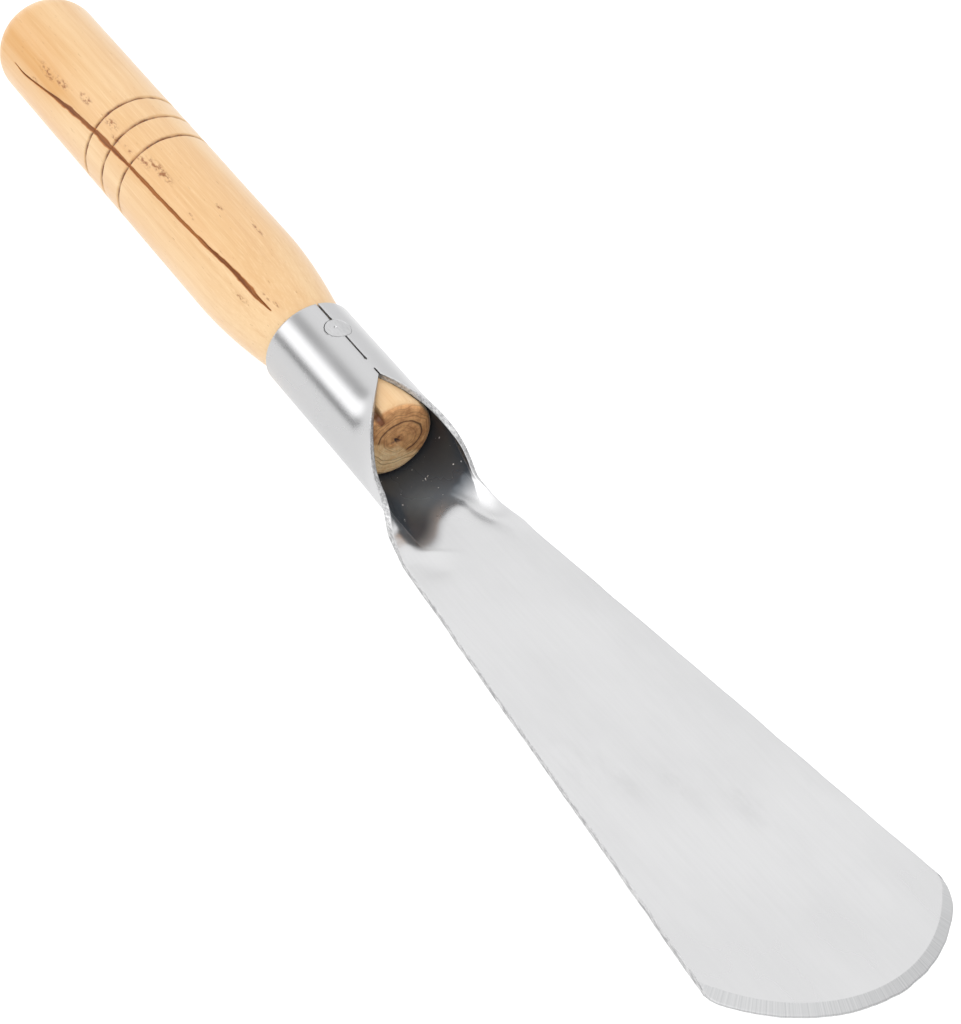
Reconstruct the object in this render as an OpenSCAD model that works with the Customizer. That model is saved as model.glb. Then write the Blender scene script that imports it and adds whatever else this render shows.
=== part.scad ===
// Uncapping knife: one steel sheet, rolled into a socket and pressed flat into a blade,
// on a turned wooden handle whose tenon is driven into the socket and pinned.
// The handle and socket share the X axis, with the blade towards +X and the socket seam on top.
// The origin is under the middle of the whole tool, level with the belly of the grip.

/* [Handle] */
// Length of the handle outside the socket
handle_len = 124.8; // [110:0.1:150]
// Diameter of the grip
grip_d = 23.8; // [22:0.1:28]
// Length of the rounded butt end
butt_len = 8.7; // [4:0.1:12]
// Length of the curved shoulder that narrows towards the socket
shoulder_len = 26; // [15:0.5:35]
// Number of decorative grooves
groove_count = 3; // [1:1:4]
// Width of a groove
groove_w = 1; // [0.5:0.1:2]
// Depth of a groove
groove_depth = 0.5; // [0.2:0.1:1]
// Distance between grooves
groove_pitch = 7.65; // [4:0.05:10]
// Distance from the socket to the nearest groove
groove_start = 59.9; // [45:0.1:65]
// Length of the tenon inside the socket
tenon_len = 32.2; // [20:0.1:34]
// Chamfer round the tenon's end
tenon_chamfer = 1.4; // [0.5:0.1:2]

/* [Socket] */
// Outer diameter of the rolled socket
socket_d = 20; // [18:0.1:21]
// Thickness of the steel sheet
sheet_t = 1.2; // [1:0.1:1.5]
// Length over which the seam is closed into a tube
socket_len = 23.7; // [20:0.1:26]
// Width of the open parts of the seam
seam_gap = 0.4; // [0.2:0.1:0.8]
// Radial gap between tenon and socket
tenon_gap = 0.05; // [0.02:0.01:0.1]

/* [Pin] */
// Distance of the pin from the socket's rim
pin_pos = 8.35; // [7:0.05:10]
// Diameter of the pin's countersunk head
pin_head_d = 5.3; // [4:0.1:6]
// Diameter of the pin's shank
pin_d = 2.8; // [2:0.1:3.5]
// Length of the pin
pin_len = 13; // [8:0.5:17]

/* [Neck] */
// Distance from the rim to where the rolled edges stand half open
mouth_end = 44.2; // [40:0.1:48]
// Distance from the rim to where the neck has become flat
neck_end = 57; // [54:0.1:64]
// How far the half open edges have spread beyond the socket's radius
mouth_flare = 0.6; // [0:0.1:1.5]

/* [Blade] */
// Length of the flat blade along its middle
blade_len = 121.7; // [100:0.1:140]
// Width of the blade where the neck ends
blade_root_w = 27.9; // [24:0.1:32]
// Width of the blade at the corners of its cutting edge
blade_w = 52.4; // [46:0.1:58]
// Radius of the curved cutting edge
edge_r = 33.3; // [32:0.1:40]
// Depth of the blade's upper face below the handle's axis where the neck ends
blade_drop = 3.9; // [2:0.1:6]
// Angle at which the blade rises towards its tip
blade_rise = 2.4; // [0:0.1:5]
// Width of the ground bevel
bevel_w = 2.3; // [1:0.1:4]
// Thickness left at the cutting edge
edge_land = 0.35; // [0.2:0.05:0.8]

/* [Hidden] */
$fn = 96;

grip_r = grip_d / 2;
socket_r = socket_d / 2;
bore_r = socket_r - sheet_t;
tenon_r = bore_r - tenon_gap;

// Open parts of the seam, as start and end distances from the rim.
// The pin's head bridges the first gap between them, and a ground weld the second.
pin_slit_end = pin_pos - pin_head_d / 2;
weld_len = 2.7;
weld_to_mouth = 2;
weld_end = socket_len - weld_to_mouth;
weld_start = weld_end - weld_len;
seam_slits = [
    [0, pin_slit_end],
    [pin_slit_end + pin_head_d, weld_start],
    [weld_end, socket_len]
];

// The pin's fit in the sheet and in the wood
pin_gap = 0.03;

// Curve of the shoulder and of the neck's floor
shoulder_power = 1.8;
floor_power = 1.35;
floor_start = 43;

butt_steps = 12;
shoulder_steps = 13;
neck_steps = 16;
arc_steps = 22;
min_arc_angle = 0.4;

// The neck's ends are let into the socket's end face and the blade's root
joint_lap = 1;
joint_trim = 0.15;

// The cutting edge's arc is centred on the blade's middle line, in the blade's own plane
edge_centre = blade_len - edge_r;
corner_pos = edge_centre + sqrt(edge_r * edge_r - blade_w * blade_w / 4);
tip_pos = neck_end + blade_len * cos(blade_rise) + sheet_t * sin(blade_rise);
middle = (tip_pos - handle_len) / 2;

// Handle ----------------------------------------------------------------

// Half of a groove's outline, as points of distance from the socket and radius
function groove_outline(pos) = [
    [-pos - groove_w / 2, grip_r],
    [-pos, grip_r - groove_depth],
    [-pos + groove_w / 2, grip_r]
];

function shoulder_r(u) = grip_r - (grip_r - tenon_r) * pow(u, shoulder_power);

handle_outline = concat(
    [for (i = [0 : butt_steps])
        let (a = 90 * i / butt_steps)
        [-handle_len + butt_len * (1 - cos(a)), grip_r * sin(a)]],
    [for (i = [groove_count - 1 : -1 : 0])
        each groove_outline(groove_start + i * groove_pitch)],
    [for (i = [0 : shoulder_steps])
        [-shoulder_len * (1 - i / shoulder_steps), shoulder_r(i / shoulder_steps)]],
    [
        [tenon_len - tenon_chamfer, tenon_r],
        [tenon_len, tenon_r - tenon_chamfer],
        [tenon_len, 0]
    ]
);

module along_x() {
    rotate([0, 90, 0]) children();
}

module handle_blank() {
    along_x()
        rotate_extrude()
            polygon([for (p = handle_outline) [p[1], p[0]]]);
}

module handle() {
    color("burlywood")
        difference() {
            handle_blank();
            pin_hole();
        }
}

// Pin -------------------------------------------------------------------

// A straight shank under a countersunk head, pointing down from the top of the socket
module pin_shape(gap) {
    translate([pin_pos, 0, socket_r - pin_len])
        cylinder(r = pin_d / 2 + gap, h = pin_len);
    translate([pin_pos, 0, bore_r])
        cylinder(r1 = pin_d / 2 + gap, r2 = pin_head_d / 2 + gap, h = sheet_t);
}

module pin_hole() {
    pin_shape(pin_gap);
}

// The head is ground flush with the round socket
module handle_pin() {
    color("gainsboro")
        intersection() {
            pin_shape(0);
            along_x() cylinder(r = socket_r, h = socket_len);
        }
}

// Blade sheet -----------------------------------------------------------

// Cuts the slits down to half the bore's radius, well clear of the far wall
module seam_cut() {
    for (slit = seam_slits)
        translate([slit[0], -seam_gap / 2, bore_r / 2])
            cube([slit[1] - slit[0], seam_gap, socket_r]);
}

function blend(a, b, u) = a + (b - a) * u;

// Height of the blade's lower face where the neck ends
flat_floor = -blade_drop - sheet_t / cos(blade_rise);

// Angle from the top of the tube to its cut edge, along the open mouth
function mouth_angle(x) =
    blend(asin(seam_gap / socket_d), 90, (x - socket_len) / (mouth_end - socket_len));

function mouth_r(x) =
    socket_r + mouth_flare * pow((x - socket_len) / (mouth_end - socket_len), 2);

// Progress from the half open mouth to the flat blade
function opening(x) = (x - mouth_end) / (neck_end - mouth_end);

// Outer edge of the sheet, as half width and height
function sheet_edge(x) = x < mouth_end
    ? mouth_r(x) * [sin(mouth_angle(x)), cos(mouth_angle(x))]
    : [
        blend(socket_r + mouth_flare, blade_root_w / 2, opening(x)),
        flat_floor * (1 - pow(1 - opening(x), 2))
    ];

// Lowest point of the sheet's outer face
function sheet_floor(x) = x < floor_start
    ? -socket_r
    : blend(-socket_r, flat_floor, pow((x - floor_start) / (neck_end - floor_start), floor_power));

// Half of the angle that the sheet's arc spans in the cross-section at x
function arc_angle(x) =
    max(min_arc_angle, 2 * atan((sheet_edge(x)[1] - sheet_floor(x)) / sheet_edge(x)[0]));

// One face of the sheet in the cross-section at x, from edge to edge: inset from the outer
// face, with its ends trimmed along the arc, and placed at pos
function arc_points(x, inset, trim, pos) =
    let (
        r = sheet_edge(x)[0] / sin(arc_angle(x)),
        a = arc_angle(x) - asin(trim / r)
    )
    [for (i = [0 : arc_steps])
        let (s = a * (2 * i / arc_steps - 1))
        [pos, (r - inset) * sin(s), sheet_floor(x) + r - (r - inset) * cos(s)]];

function reversed(list) = [for (i = [len(list) - 1 : -1 : 0]) list[i]];

function neck_section(x, trim, pos) = concat(
    arc_points(x, trim, trim, pos),
    reversed(arc_points(x, sheet_t - trim, trim, pos))
);

module neck() {
    sections = concat(
        [for (pos = [socket_len - joint_lap, socket_len])
            neck_section(socket_len, joint_trim, pos)],
        [for (i = [1 : neck_steps - 1])
            let (x = blend(socket_len, neck_end, i / neck_steps))
            neck_section(x, 0, x)],
        [for (pos = [neck_end, neck_end + joint_lap])
            neck_section(neck_end, joint_trim, pos)]
    );
    around = len(sections[0]);
    last = len(sections) - 1;
    walls = [for (i = [0 : last - 1], j = [0 : around - 1])
        let (
            a = i * around + j,
            b = i * around + (j + 1) % around
        )
        each [[a, b + around, b], [a, a + around, b + around]]];
    start_cap = [for (j = [0 : around - 1]) j];
    end_cap = [for (j = [around - 1 : -1 : 0]) last * around + j];
    polyhedron([for (section = sections) each section], concat(walls, [start_cap, end_cap]));
}

// Everything below is drawn in the blade's own plane, with X = 0 where the neck ends
// and Z = 0 on the upper face.

module blade_sides() {
    slope = (blade_w - blade_root_w) / 2 / corner_pos;
    start = -2 * sheet_t;
    start_w = blade_root_w / 2 + slope * start;
    end_w = blade_root_w / 2 + slope * blade_len;
    translate([0, 0, -sheet_t])
        linear_extrude(sheet_t)
            polygon([[start, -start_w], [blade_len, -end_w], [blade_len, end_w], [start, start_w]]);
}

module blade_arc() {
    translate([edge_centre, 0, -sheet_t])
        cylinder(r = edge_r, h = sheet_t);
    translate([-blade_len, -blade_w, -sheet_t])
        cube([blade_len + corner_pos, 2 * blade_w, sheet_t]);
}

// The waste that grinding takes off the upper face along the cutting edge
module bevel_cut() {
    depth = sheet_t - edge_land;
    slope = depth / bevel_w;
    clear = 1;
    intersection() {
        translate([edge_centre, 0, 0])
            rotate_extrude()
                polygon([
                    [edge_r - bevel_w, 0],
                    [edge_r + clear, -depth - clear * slope],
                    [edge_r + clear, clear],
                    [edge_r - bevel_w, clear]
                ]);
        translate([edge_centre, -blade_w, -sheet_t])
            cube([blade_len, 2 * blade_w, 2 * sheet_t]);
    }
}

module blade() {
    intersection() {
        translate([neck_end, 0, -blade_drop])
            rotate([0, -blade_rise, 0])
                difference() {
                    intersection() {
                        blade_sides();
                        blade_arc();
                    }
                    bevel_cut();
                }
        translate([neck_end, -blade_w, -socket_d])
            cube([2 * blade_len, 2 * blade_w, 2 * socket_d]);
    }
}

module blade_sheet() {
    color("silver") {
        difference() {
            union() {
                along_x() cylinder(r = socket_r, h = socket_len);
                neck();
            }
            along_x() cylinder(r = bore_r, h = socket_len);
            seam_cut();
            pin_hole();
        }
        blade();
    }
}

module placed() {
    translate([-middle, 0, grip_r]) children();
}

placed() blade_sheet();
placed() handle();
placed() handle_pin();
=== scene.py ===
"""Looks of the uncapping knife: steel sheet, turned handle and flush pin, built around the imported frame."""

import math

import bmesh
import bpy
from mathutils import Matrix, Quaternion, Vector, noise


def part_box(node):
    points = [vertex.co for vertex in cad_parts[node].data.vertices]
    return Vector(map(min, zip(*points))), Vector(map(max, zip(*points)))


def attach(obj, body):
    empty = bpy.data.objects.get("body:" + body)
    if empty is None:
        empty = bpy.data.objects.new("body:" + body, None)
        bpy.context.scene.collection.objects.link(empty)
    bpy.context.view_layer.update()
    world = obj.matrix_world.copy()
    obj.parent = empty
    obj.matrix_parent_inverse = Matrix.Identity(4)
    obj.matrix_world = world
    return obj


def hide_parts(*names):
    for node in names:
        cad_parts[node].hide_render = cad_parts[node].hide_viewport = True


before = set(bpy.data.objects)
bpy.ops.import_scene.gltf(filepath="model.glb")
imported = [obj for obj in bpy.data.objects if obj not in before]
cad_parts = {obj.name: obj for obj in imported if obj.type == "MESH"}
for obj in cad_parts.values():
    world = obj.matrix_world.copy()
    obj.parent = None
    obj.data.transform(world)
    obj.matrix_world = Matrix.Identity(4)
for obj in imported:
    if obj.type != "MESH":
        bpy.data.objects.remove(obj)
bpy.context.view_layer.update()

MM = 0.001

# The tool's own coordinates are millimetres from the socket's rim, along and around the handle's axis.
sheet_low, sheet_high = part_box("blade_sheet")
handle_low, handle_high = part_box("handle")
RIM = sheet_low.x
AXIS_HEIGHT = (handle_low.z + handle_high.z) / 2
BUTT = (handle_low.x - RIM) / MM
TENON_END = (handle_high.x - RIM) / MM
TIP = (sheet_high.x - RIM) / MM
BLADE_HALF = sheet_high.y / MM
GRIP_R = (handle_high.z - handle_low.z) / 2 / MM
SOCKET_R = (AXIS_HEIGHT - sheet_low.z) / MM

# The sheet, with the same sizes as in the CAD model
SHEET = 1.2
BORE_R = SOCKET_R - SHEET
SOCKET_LEN = 23.7
MOUTH_END = 44.2
NECK_END = 57.0
MOUTH_FLARE = 0.6
ROOT_HALF = 13.95
DROP = 3.9
RISE = math.tan(math.radians(2.4))
EDGE_R = 33.3
EDGE_CENTRE = TIP - EDGE_R
CORNER = EDGE_CENTRE + math.sqrt(EDGE_R ** 2 - BLADE_HALF ** 2)
BEVEL = 2.3
LAND = 0.35
SLIT_HALF = 0.2
WELD = (19.0, 21.6)

# The pin
PIN_AT = 8.35
PIN_HEAD_R = 2.65
PIN_R = 1.4
PIN_FOOT = -3.0

QUARTER = math.pi / 2


def place(x, y, z):
    """A point of the tool, in millimetres from the rim, as a point of the frame in metres."""
    return Vector((RIM + x * MM, y * MM, AXIS_HEIGHT + z * MM))


def tool_point(vertex):
    """The reverse of place: a vertex's place in millimetres."""
    return (vertex.co.x - RIM) / MM, vertex.co.y / MM, (vertex.co.z - AXIS_HEIGHT) / MM


def mix(a, b, u):
    return a + (b - a) * u


def clamp(u):
    return min(max(u, 0.0), 1.0)


def smooth(u):
    u = clamp(u)
    return u * u * (3 - 2 * u)


def ramp(x, start, end):
    """0 at start, 1 at end, with a soft change between them; end may lie before start."""
    return smooth((x - start) / (end - start))


def rise_and_fall(x, span):
    """0 outside the four places of span, 1 between the middle two."""
    return ramp(x, span[0], span[1]) * ramp(x, span[3], span[2])


def hill(*offsets):
    """A round hill, 1 at its middle; each offset is a distance over the hill's width."""
    return math.exp(-sum(offset * offset for offset in offsets))


def arc_rise(u):
    """How far a rounded edge has dropped at u, from 0 at the start of its quarter circle to 1 at the end."""
    return 1 - math.sqrt(max(1 - u * u, 0))


def curve(start, end, slope_start, slope_end, u):
    """A cubic from start to end with the given slopes per whole step."""
    rise = start * (2 * u ** 3 - 3 * u ** 2 + 1) + end * (3 * u ** 2 - 2 * u ** 3)
    return rise + slope_start * (u ** 3 - 2 * u ** 2 + u) + slope_end * (u ** 3 - u ** 2)


def along(points, x):
    """A smooth curve through a short list of (position, value) points, level beyond its ends."""
    if x <= points[0][0]:
        return points[0][1]
    if x >= points[-1][0]:
        return points[-1][1]
    i = next(k for k in range(len(points) - 1) if x <= points[k + 1][0])
    (x0, v0), (x1, v1) = points[i], points[i + 1]
    before, after = points[max(i - 1, 0)], points[min(i + 2, len(points) - 1)]
    slope0 = (v1 - before[1]) / (x1 - before[0]) * (x1 - x0)
    slope1 = (after[1] - v0) / (after[0] - x0) * (x1 - x0)
    return curve(v0, v1, slope0, slope1, (x - x0) / (x1 - x0))


SEED_STEP = 7.31


def wobble(x, seed, period):
    """Smooth noise from -1 to 1 along x."""
    return noise.noise(Vector((x / period, seed * SEED_STEP, 0.5)))


def new_object(name, mesh):
    piece = bpy.data.objects.new(name, mesh)
    bpy.context.scene.collection.objects.link(piece)
    return piece


def mesh_from(bm, name):
    """A mesh with outward faces from a finished bmesh, which is freed."""
    bmesh.ops.recalc_face_normals(bm, faces=bm.faces)
    mesh = bpy.data.meshes.new(name)
    bm.to_mesh(mesh)
    bm.free()
    return mesh


def shade_smooth(mesh):
    for polygon in mesh.polygons:
        polygon.use_smooth = True


def store(mesh, name, values):
    layer = mesh.attributes.new(name, "FLOAT", "POINT")
    layer.data.foreach_set("value", values)


# ---- Shape of the socket and neck

FLAT_FLOOR = -DROP - SHEET
FLAT_FROM = 61.0
WIDENING = (BLADE_HALF - ROOT_HALF) / (CORNER - NECK_END)
# How fast the half width still grows where the mouth ends, and how early the edges come down
MOUTH_SPREAD = 0.9
FALL_POWER = 1.9
MIN_ARC = math.radians(0.3)


def half_width(x):
    return ROOT_HALF + WIDENING * (x - NECK_END)


def mouth_share(x):
    return clamp((x - SOCKET_LEN) / (MOUTH_END - SOCKET_LEN))


def sheet_edge(x):
    """Half width and height of the sheet's outer edge in the cross-section at x."""
    if x < MOUTH_END:
        start = math.asin(SLIT_HALF / SOCKET_R)
        angle = mix(start, QUARTER, mouth_share(x))
        radius = SOCKET_R + MOUTH_FLARE * mouth_share(x) ** 2
        return radius * math.sin(angle), radius * math.cos(angle)
    length = FLAT_FROM - MOUTH_END
    share = clamp((x - MOUTH_END) / length)
    half = curve(SOCKET_R + MOUTH_FLARE, half_width(FLAT_FROM), MOUTH_SPREAD, WIDENING * length, share)
    end_height = FLAT_FLOOR + RISE * (FLAT_FROM - NECK_END)
    return half, end_height * (1 - (1 - share) ** FALL_POWER)


# The floor of the neck rises in one bend up and one bend back to the blade's own slope
BEND_UP = (40.0, 46.0)
BEND_BACK = (50.0, 56.0)
FLOOR_STEP = 0.1
STEEPEST_LIMIT = 2.0
HALVINGS = 30


def floor_slope(x, steepest):
    return mix(steepest * ramp(x, *BEND_UP), RISE, ramp(x, *BEND_BACK))


def floor_heights():
    """Heights of the neck's floor at every FLOOR_STEP, steep enough to meet the blade's lower face."""
    count = round(BEND_BACK[1] / FLOOR_STEP)
    goal = FLAT_FLOOR + RISE * (BEND_BACK[1] - NECK_END)
    low, high = 0.0, STEEPEST_LIMIT
    for _ in range(HALVINGS):
        steepest = (low + high) / 2
        heights = [-SOCKET_R]
        for i in range(count):
            slope = floor_slope((i + 0.5) * FLOOR_STEP, steepest)
            heights.append(heights[-1] + slope * FLOOR_STEP)
        low, high = (steepest, high) if heights[-1] < goal else (low, steepest)
    return heights


FLOOR = floor_heights()


def sheet_floor(x):
    place_in = clamp(x / BEND_BACK[1]) * (len(FLOOR) - 1)
    i = min(int(place_in), len(FLOOR) - 2)
    past = max(x - BEND_BACK[1], 0) * RISE
    return mix(FLOOR[i], FLOOR[i + 1], place_in - i) + past


# The press bent the floor askew: one side of it starts to rise earlier than the other
SKEW = 4.6
SKEW_MIDDLE = -2.5
SKEW_WIDTH = 3.5
SKEW_FADE = (7.5, 10.5)
# Beyond the mouth the skew fades less, and over a wider strip
WIDE_FADE = 5.0
WIDE_FADE_AMOUNT = 0.6
WIDE_FADE_LENGTH = 6.0
# How far each side's edge lies above the evenly bent shape, by place along
EDGE_LEFT = ((44.2, 0), (46, -1.1), (48.5, -1.6), (50.5, -1.8), (53, -1.1), (56, -0.35), (61, 0))
EDGE_RIGHT = ((44.2, 0), (46.7, -0.6), (51, -0.6), (53.7, -0.2), (57, 0.2), (61, 0))
SIDE_FROM = 0.4
SIDE_POWER = 1.5
# A shallow valley beside the +Y edge, and a rolled-over ridge beside the -Y edge
PRESS_RANGE = (43.0, 48.5, 51.5, 60.0)
VALLEY = 1.35
VALLEY_WIDTH = 2.5
VALLEY_INSET = 3.9
ROLL = 0.8
ROLL_WIDTH = 1.7
ROLL_INSET = 2.6


def skew_shift(y):
    """How far along the neck the press moved the bends at y."""
    return SKEW * math.tanh((y - SKEW_MIDDLE) / SKEW_WIDTH)


def press_skew(x, y):
    """How much higher or lower the sheet lies at a point because the press was askew."""
    shift = skew_shift(y)
    fade = 1 - ramp(abs(y), *SKEW_FADE)
    if x > MOUTH_END:
        wide = 1 - WIDE_FADE_AMOUNT * smooth((abs(y) - SKEW_FADE[0]) / WIDE_FADE)
        fade = mix(fade, wide, smooth((x - MOUTH_END) / WIDE_FADE_LENGTH))
    askew = sheet_floor(x + shift) - sheet_floor(x) - RISE * shift * ramp(x, *BEND_BACK)
    half = sheet_edge(max(x, MOUTH_END))[0]
    side = clamp((abs(y) / half - SIDE_FROM) / (1 - SIDE_FROM)) ** SIDE_POWER
    edge = side * along(EDGE_RIGHT if y > 0 else EDGE_LEFT, x)
    pressed = rise_and_fall(x, PRESS_RANGE)
    valley = VALLEY * pressed * hill((y - half + VALLEY_INSET) / VALLEY_WIDTH)
    roll = ROLL * pressed * hill((y + half - ROLL_INSET) / ROLL_WIDTH)
    return askew * fade + edge - valley + roll


# Beside the mouth the rolled wall straightens and stands out a little, by side (-Y, +Y)
BELL = (0.95, 0.1)
BELL_REACH = 0.62
BELL_RANGE = (24.5, 34.0, 40.0, 47.0)


def bell(x, turn, end):
    """How far the wall stands outside its arc at an angle from the bottom, near its edge at angle end."""
    near_edge = clamp((abs(turn) - end + BELL_REACH) / BELL_REACH) ** 2
    return BELL[turn > 0] * rise_and_fall(x, BELL_RANGE) * near_edge


# The open parts of the seam reach a little under the pin's head and past the tube's two ends
SLIT_LAP = 0.1
SLITS = ((-1.0, PIN_AT - PIN_HEAD_R + SLIT_LAP), (PIN_AT + PIN_HEAD_R - SLIT_LAP, WELD[0]),
         (WELD[1], SOCKET_LEN + 1))
SLIT_ROUND = 0.35
SLIT_SWELL = 0.12
SWELL_BEFORE_END = 0.5
SWELL_WIDTH = 0.3
RIM_SLIT_EXTRA = 0.06


def slit_half(x):
    """Half width of the seam: 0 where the pin or the ground weld closes it."""
    for start, end in SLITS:
        if start < x < end:
            near = min(x - start, end - x)
            swell = SLIT_SWELL * hill((x - end + SWELL_BEFORE_END) / SWELL_WIDTH)
            wide = RIM_SLIT_EXTRA if end < PIN_AT else 0.0
            return (SLIT_HALF + swell + wide) * math.sqrt(clamp(near / SLIT_ROUND))
    return 0.0


def section_arc(x):
    """Half angle, radius and lowest height of the sheet's outer arc at x."""
    floor = sheet_floor(x)
    if x < SOCKET_LEN:
        return math.pi - math.asin(slit_half(x) / SOCKET_R), SOCKET_R, floor
    half, height = sheet_edge(x)
    angle = max(MIN_ARC, 2 * math.atan2(height - floor, half))
    return angle, half / math.sin(angle), floor


# Points round the sheet: ACROSS steps over each face, and a band over each cut edge
ACROSS = 116
FACE_POINTS = ACROSS + 1
BAND_RAW = (0.35, 0.9, 1.0, 1.0, 0.9, 0.35)
BAND = len(BAND_RAW)
BAND_TURNS = (0.5, 1.0)
BAND_MIDDLE = (1 / 3, 2 / 3)
RIM_EASE = 0.25
SLIT_EASE = 0.05
EDGE_EASE = 0.16
EASE_GROWTH = 3.0

# The sheared edge strays from its line, as amount, period and seed, and its face is torn
RAGGED = ((0.16, 7.0, 3), (0.05, 0.8, 5))
RAGGED_GROWTH = 4.0
TORN = 0.035
TORN_PERIOD = 0.35
TORN_SEED = 11


def across_places():
    return [2 * i / ACROSS - 1 for i in range(FACE_POINTS)]


def edge_ragged(x, side):
    """How far the sheared edge strays from its line, on side 0 (-Y) or 1 (+Y)."""
    stray = sum(amount * wobble(x, seed + side, period) for amount, period, seed in RAGGED)
    return smooth((x - SOCKET_LEN) / RAGGED_GROWTH) * stray


def rounding(ease, turn):
    """Inset and drop of a rounded edge, part of a quarter turn from where its curve starts."""
    return ease * (1 - math.sin(turn * QUARTER)), ease * (1 - math.cos(turn * QUARTER))


def section_ease(x, closed):
    """Radius of the sheared edge's rounding at x."""
    if closed:
        return 0.0
    if x < SOCKET_LEN:
        return SLIT_EASE
    return mix(SLIT_EASE, EDGE_EASE, smooth((x - SOCKET_LEN) / EASE_GROWTH))


def section_loop(x):
    """The closed outline of the sheet's cross-section at x, and whether the seam is closed there."""
    angle, radius, floor = section_arc(x)
    centre = floor + radius
    closed = x < SOCKET_LEN and slit_half(x) == 0
    ease = section_ease(x, closed)
    rim = RIM_EASE * arc_rise(1 - clamp(x / RIM_EASE))
    outer, inner = radius - rim, radius - SHEET + rim
    ends = [angle + edge_ragged(x, side) / radius for side in (0, 1)]
    torn = 0.0 if closed else TORN

    def at(r, a):
        r += bell(x, a, angle)
        return Vector((x, r * math.sin(a), centre - r * math.cos(a)))

    def corner(r, way, side):
        points = []
        for turn in BAND_TURNS:
            inset, drop = rounding(ease, turn)
            points.append(at(r + way * drop, (side * 2 - 1) * (ends[side] - inset / r)))
        return points

    def band(side):
        middle = []
        for share in BAND_MIDDLE:
            r = mix(outer - ease, inner + ease, share)
            stray = torn * wobble(x, TORN_SEED + side + share, TORN_PERIOD)
            middle.append(at(r, (side * 2 - 1) * (ends[side] + stray / radius)))
        return corner(outer, -1, side) + middle + corner(inner, 1, side)[::-1]

    def face(r):
        low, high = -(ends[0] - ease / r), ends[1] - ease / r
        return [at(r, mix(low, high, (u + 1) / 2)) for u in across_places()]

    loop = face(outer) + band(1) + face(inner)[::-1] + band(0)[::-1]
    return loop, closed


# ---- Shape of the blade

# Rounding of the blade's two corners, by side (-Y, +Y)
CORNER_EASE = (1.4, 3.2)
CORNER_PULL = 0.8
CORNER_DEPTH = 6.0
# Wear of the cutting edge and of the bevel's border, as amount, seed and period over the scaled angle
EDGE_WEAR = ((0.10, 21, 1.0), (0.05, 22, 0.25))
BEVEL_WEAR = (0.12, 23, 1.2)
WEAR_SCALE = 20
WORN_BACK = 0.12
WEAR_DEPTH = 2.0
BEVEL_DEPTHS = (6.0, 4.6, 3.4, 2.8, 2.5, 2.4, 2.3, 2.2, 2.1, 1.8, 1.4, 1.0, 0.6, 0.3, 0.12, 0.0)
BLADE_ROWS = 58
END_EASE = 0.08
THIN_EASE = 0.45
REACH_STEPS = 12


def corner_pull(across, depth):
    """How far a blade corner's rounding pulls the edge back."""
    ease = CORNER_EASE[across > 0]
    start = 1 - ease / BLADE_HALF
    if abs(across) <= start:
        return 0.0
    round_off = arc_rise((abs(across) - start) / (1 - start))
    return ease * CORNER_PULL * round_off * clamp(1 - depth / CORNER_DEPTH)


def blade_x(across, depth):
    """Where the line at a place across the blade comes within depth of the cutting edge."""
    x = CORNER
    for _ in range(REACH_STEPS):
        y = half_width(x) * across
        x = EDGE_CENTRE + math.sqrt((EDGE_R - depth) ** 2 - y * y)
    x -= corner_pull(across, depth)
    angle = math.atan2(half_width(x) * across, x - EDGE_CENTRE)
    wear = sum(amount * wobble(angle * WEAR_SCALE, seed, period) for amount, seed, period in EDGE_WEAR)
    return x + (wear - WORN_BACK) * clamp(1 - depth / WEAR_DEPTH)


def blade_height(x, y, upper):
    """Height of the blade's upper or lower face, with the ground bevel on the upper one."""
    top = -DROP + RISE * (x - NECK_END)
    if not upper:
        return top - SHEET
    depth = EDGE_R - math.hypot(x - EDGE_CENTRE, y)
    angle = math.atan2(y, x - EDGE_CENTRE)
    amount, seed, period = BEVEL_WEAR
    bevel = BEVEL + amount * wobble(angle * WEAR_SCALE, seed, period)
    if x > EDGE_CENTRE and depth < bevel:
        top -= (SHEET - LAND) * (1 - max(depth, 0) / bevel)
    return top


def blade_loop(share, depth):
    """One row across the blade: between neck and bevel by share, or at a depth from the edge."""
    on_bevel = share == 1 and depth < BEVEL
    ease = EDGE_EASE * (THIN_EASE if on_bevel else 1.0)

    def at(across, upper, inset=0.0, drop=0.0):
        x = mix(FLAT_FROM, blade_x(across, max(depth, 0)), share)
        half = half_width(x) + edge_ragged(x, 1 if across > 0 else 0)
        y = half * across - math.copysign(inset, across) * abs(across)
        z = blade_height(x, y, upper)
        return Vector((x, y, z - drop if upper else z + drop))

    def band(sign):
        below = [at(sign, False, *rounding(ease, turn)) for turn in BAND_TURNS]
        above = [at(sign, True, *rounding(ease, turn)) for turn in BAND_TURNS]
        low, high = below[-1], above[-1]
        middle = []
        for k in BAND_MIDDLE:
            stray = TORN * wobble(low.x, TORN_SEED + sign + k, TORN_PERIOD)
            middle.append(low.lerp(high, k) + Vector((0, sign * stray, 0)))
        return below + middle + above[::-1]

    def face(upper):
        row = [at(u, upper, ease) for u in across_places()]
        if share == 1 and depth < END_EASE:
            pull = END_EASE * (1 - depth / END_EASE)
            row = [p + Vector((0, 0, -pull if upper else pull)) for p in row]
        return row

    return face(False) + band(1) + face(True)[::-1] + band(-1)[::-1], False


# Small marks that the press left near the neck: a dent, and a crease that runs askew past it
DENT_AT = (62.5, -9.0)
DENT_SIZE = (2.4, 3.4)
DENT_DEPTH = 0.42
CREASE_AT = (58.4, -6.4)
CREASE_SIZE = (0.8, 3.2)
CREASE_HEIGHT = 0.13
CREASE_TURN = 0.42
CREASE_PIVOT = -8.6
# The blade's slight waviness
WAVE_HEIGHT = 0.09
WAVE_SIZE = (26, 15)
WAVE_SEED = 4.2
WAVE_GROWTH = 12
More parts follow.
